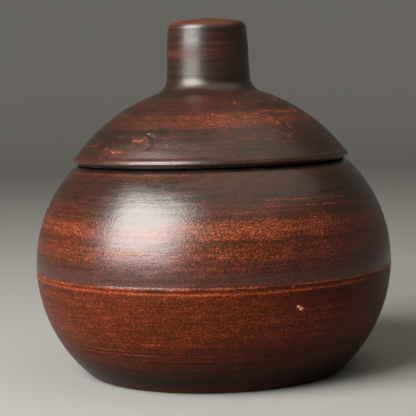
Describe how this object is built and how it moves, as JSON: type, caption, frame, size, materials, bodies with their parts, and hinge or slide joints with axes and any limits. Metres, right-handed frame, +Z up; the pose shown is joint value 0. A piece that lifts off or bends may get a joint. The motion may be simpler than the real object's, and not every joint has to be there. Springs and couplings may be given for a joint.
{
  "type": "lidded clay pot",
  "caption": "Round burnished clay pot with a flat base, a raised double line round its belly, and a loose domed lid with an upright cylindrical knob.",
  "frame": {"origin": "centre of the flat base, on the pot's axis", "axes": "+Z up along the pot's axis, through the knob; the pot is round, so +X and +Y are any two level directions at right angles"},
  "size_m": [0.12, 0.12, 0.1186],
  "materials": {
    "burnished_clay": "smoke-darkened red clay, burnished to a soft sheen, with fine horizontal streaks worn back to red",
    "rubbed_clay": "smoke-darkened red clay, rubbed smooth and nearly matte, with fine red speckle and streaks",
    "bare_clay": "unburnished matte red clay"
  },
  "bodies": {
    "pot": {"lower_bowl": "rubbed_clay", "upper_bowl": "burnished_clay"},
    "lid": {"lid_dome": "burnished_clay", "lid_ring": "bare_clay", "knob": "burnished_clay"}
  },
  "joints": [
    {"name": "lid_lift", "type": "slide", "parent": "pot", "child": "lid", "axis": [0, 0, 1], "range_m": [0, 0.08]}
  ]
}
